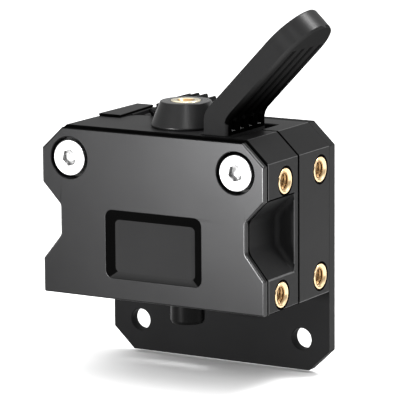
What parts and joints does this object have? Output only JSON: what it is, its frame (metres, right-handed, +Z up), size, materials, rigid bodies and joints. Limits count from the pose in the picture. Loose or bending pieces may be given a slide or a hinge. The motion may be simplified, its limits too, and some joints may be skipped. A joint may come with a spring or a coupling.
{
  "type": "extruder gear assembly",
  "caption": "Geared filament extruder: split housing on a motor plate, large driven gear, hobbed drive gear, sprung idler lever, inlet cone and outlet collar.",
  "frame": {"origin": "on the motor axis, at the back face of the mounting plate, which seats on the motor", "axes": "+Z up along the filament path towards the inlet, -Y out of the front cover, +Y towards the motor, +X towards the thumb lever"},
  "size_m": [0.0476, 0.0269, 0.0616],
  "materials": {
    "cover_metal": "satin gunmetal",
    "housing_plastic": "satin moulded",
    "plate_metal": "matte black anodised",
    "black_plastic": "satin moulded",
    "gear_plastic": "satin moulded",
    "screw_steel": "bright",
    "dark_steel": "black oxide",
    "bright_steel": "ground",
    "hob_steel": "machined",
    "spring_steel": "bright",
    "insert_brass": "machined",
    "pinion_brass": "machined",
    "tube_plastic": "waxy white"
  },
  "bodies": {
    "housing": {"front_cover": "cover_metal", "front_housing": "housing_plastic", "rear_housing": "housing_plastic", "motor_plate": "plate_metal", "cover_screw_left": "screw_steel", "cover_screw_right": "screw_steel", "plate_screw_left": "dark_steel", "plate_screw_right": "dark_steel", "insert_left_front_upper": "insert_brass", "insert_left_front_lower": "insert_brass", "insert_left_rear_upper": "insert_brass", "insert_left_rear_lower": "insert_brass", "insert_right_front_upper": "insert_brass", "insert_right_front_lower": "insert_brass", "insert_right_rear_upper": "insert_brass", "insert_right_rear_lower": "insert_brass", "inlet_cone": "black_plastic", "inlet_bush": "insert_brass", "outlet_collar": "black_plastic", "guide_tube": "tube_plastic", "front_bearing": "bright_steel", "rear_bearing": "bright_steel", "lever_pivot_pin": "bright_steel", "clamp_spring": "spring_steel"},
    "drive_train": {"drive_shaft": "bright_steel", "drive_gear": "hob_steel", "driven_gear": "gear_plastic"},
    "pinion": {"motor_pinion": "pinion_brass", "pinion_grub_screw": "dark_steel"},
    "lever": {"idler_lever": "black_plastic", "idler_pin": "bright_steel"},
    "idler": {"idler_gear": "hob_steel", "idler_needle_bush": "bright_steel"}
  },
  "joints": [
    {"name": "drive_spin", "type": "hinge", "parent": "housing", "child": "drive_train", "pos_m": [-0.003, -0.0146, 0.01367], "axis": [0, 1, 0], "continuous": true},
    {"name": "pinion_spin", "type": "hinge", "parent": "housing", "child": "pinion", "pos_m": [0, -0.0054, 0], "axis": [0, 1, 0], "continuous": true},
    {"name": "lever_press", "type": "hinge", "parent": "housing", "child": "lever", "pos_m": [0.0066, -0.0146, -0.0019], "axis": [0, 1, 0], "range_deg": [0, 2.6], "stiffness_Nm_per_rad": 0.62, "springref_deg": -14.32, "deforming": ["clamp_spring"]},
    {"name": "idler_spin", "type": "hinge", "parent": "lever", "child": "idler", "pos_m": [0.0055, -0.0146, 0.01367], "axis": [0, 1, 0], "continuous": true}
  ],
  "couplings": [
    {"joint": "pinion_spin", "follows": "drive_spin", "ratio": -2.5},
    {"joint": "idler_spin", "follows": "drive_spin", "ratio": -1}
  ]
}
